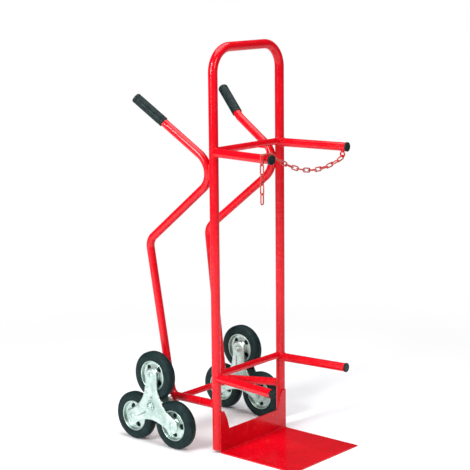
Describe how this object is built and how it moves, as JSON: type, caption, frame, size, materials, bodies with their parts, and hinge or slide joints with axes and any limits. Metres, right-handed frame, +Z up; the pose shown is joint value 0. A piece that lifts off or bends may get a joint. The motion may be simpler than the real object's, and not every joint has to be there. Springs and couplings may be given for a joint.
{
  "type": "stair climbing trolley",
  "caption": "Tube-framed gas bottle trolley with a toe plate, cradle arms, a retaining chain, angled handles and tri-star stair climbing wheel sets.",
  "frame": {"origin": "on the floor, under the middle of the trolley's bounding box", "axes": "+Z up, -Y to the front where the toe plate reaches, +Y to the rear where the operator stands, +X to the operator's left"},
  "size_m": [0.516, 0.7064, 1.32],
  "materials": {
    "red_paint": "gloss red powder coat",
    "zinc_plate": "bright zinc plated pressed steel",
    "tyre_rubber": "solid black rubber",
    "grip_rubber": "ribbed black rubber",
    "cap_plastic": "moulded black plastic",
    "chain_paint": "worn red paint on steel chain"
  },
  "bodies": {
    "frame": {"axle_cap_left": "zinc_plate", "axle_cap_right": "zinc_plate", "axle_shaft": "zinc_plate", "axle_spacer_left": "zinc_plate", "axle_spacer_right": "zinc_plate", "axle_tube": "red_paint", "chain_eye": "red_paint", "chain_hook": "red_paint", "grip_left": "grip_rubber", "grip_right": "grip_rubber", "handle_leg_tube_left": "red_paint", "handle_leg_tube_right": "red_paint", "lower_arm_left": "red_paint", "lower_arm_left_cap": "cap_plastic", "lower_arm_right": "red_paint", "lower_arm_right_cap": "cap_plastic", "lower_cross_bar": "red_paint", "main_hoop": "red_paint", "toe_plate": "red_paint", "upper_arm_left": "red_paint", "upper_arm_left_cap": "cap_plastic", "upper_arm_right": "red_paint", "upper_arm_right_cap": "cap_plastic", "upper_cross_bar": "red_paint"},
    "star_right": {"star_plate_outer_right": "zinc_plate", "star_plate_inner_right": "zinc_plate", "star_hub_right": "zinc_plate", "wheel_bolt_right_top": "zinc_plate", "wheel_bolt_right_rear": "zinc_plate", "wheel_bolt_right_front": "zinc_plate", "wheel_nut_right_top": "zinc_plate", "wheel_nut_right_rear": "zinc_plate", "wheel_nut_right_front": "zinc_plate"},
    "wheel_right_top": {"tyre_right_top": "tyre_rubber", "wheel_centre_right_top": "zinc_plate"},
    "wheel_right_rear": {"tyre_right_rear": "tyre_rubber", "wheel_centre_right_rear": "zinc_plate"},
    "wheel_right_front": {"tyre_right_front": "tyre_rubber", "wheel_centre_right_front": "zinc_plate"},
    "star_left": {"star_plate_outer_left": "zinc_plate", "star_plate_inner_left": "zinc_plate", "star_hub_left": "zinc_plate", "wheel_bolt_left_top": "zinc_plate", "wheel_bolt_left_rear": "zinc_plate", "wheel_bolt_left_front": "zinc_plate", "wheel_nut_left_top": "zinc_plate", "wheel_nut_left_rear": "zinc_plate", "wheel_nut_left_front": "zinc_plate"},
    "wheel_left_top": {"tyre_left_top": "tyre_rubber", "wheel_centre_left_top": "zinc_plate"},
    "wheel_left_rear": {"tyre_left_rear": "tyre_rubber", "wheel_centre_left_rear": "zinc_plate"},
    "wheel_left_front": {"tyre_left_front": "tyre_rubber", "wheel_centre_left_front": "zinc_plate"},
    "chain_span": {"chain_span": "chain_paint"},
    "chain_tail": {"chain_tail": "chain_paint"}
  },
  "joints": [
    {"name": "star_right_turn", "type": "hinge", "parent": "frame", "child": "star_right", "pos_m": [-0.221, 0.18482, 0.13101], "axis": [1, 0, 0], "continuous": true},
    {"name": "wheel_right_top_roll", "type": "hinge", "parent": "star_right", "child": "wheel_right_top", "pos_m": [-0.221, 0.18482, 0.23303], "axis": [1, 0, 0], "continuous": true},
    {"name": "wheel_right_rear_roll", "type": "hinge", "parent": "star_right", "child": "wheel_right_rear", "pos_m": [-0.221, 0.27318, 0.08], "axis": [1, 0, 0], "continuous": true},
    {"name": "wheel_right_front_roll", "type": "hinge", "parent": "star_right", "child": "wheel_right_front", "pos_m": [-0.221, 0.09648, 0.08], "axis": [1, 0, 0], "continuous": true},
    {"name": "star_left_turn", "type": "hinge", "parent": "frame", "child": "star_left", "pos_m": [0.221, 0.18482, 0.13101], "axis": [1, 0, 0], "continuous": true},
    {"name": "wheel_left_top_roll", "type": "hinge", "parent": "star_left", "child": "wheel_left_top", "pos_m": [0.221, 0.18482, 0.23303], "axis": [1, 0, 0], "continuous": true},
    {"name": "wheel_left_rear_roll", "type": "hinge", "parent": "star_left", "child": "wheel_left_rear", "pos_m": [0.221, 0.27318, 0.08], "axis": [1, 0, 0], "continuous": true},
    {"name": "wheel_left_front_roll", "type": "hinge", "parent": "star_left", "child": "wheel_left_front", "pos_m": [0.221, 0.09648, 0.08], "axis": [1, 0, 0], "continuous": true},
    {"name": "chain_span_swing", "type": "hinge", "parent": "frame", "child": "chain_span", "pos_m": [-0.17669, -0.27117, 0.99578], "axis": [0.9937, 0, -0.112], "range_deg": [-80, 80]},
    {"name": "chain_tail_swing", "type": "hinge", "parent": "frame", "child": "chain_tail", "pos_m": [-0.21573, -0.27117, 0.994], "axis": [1, 0, 0], "range_deg": [-50, 50]}
  ]
}
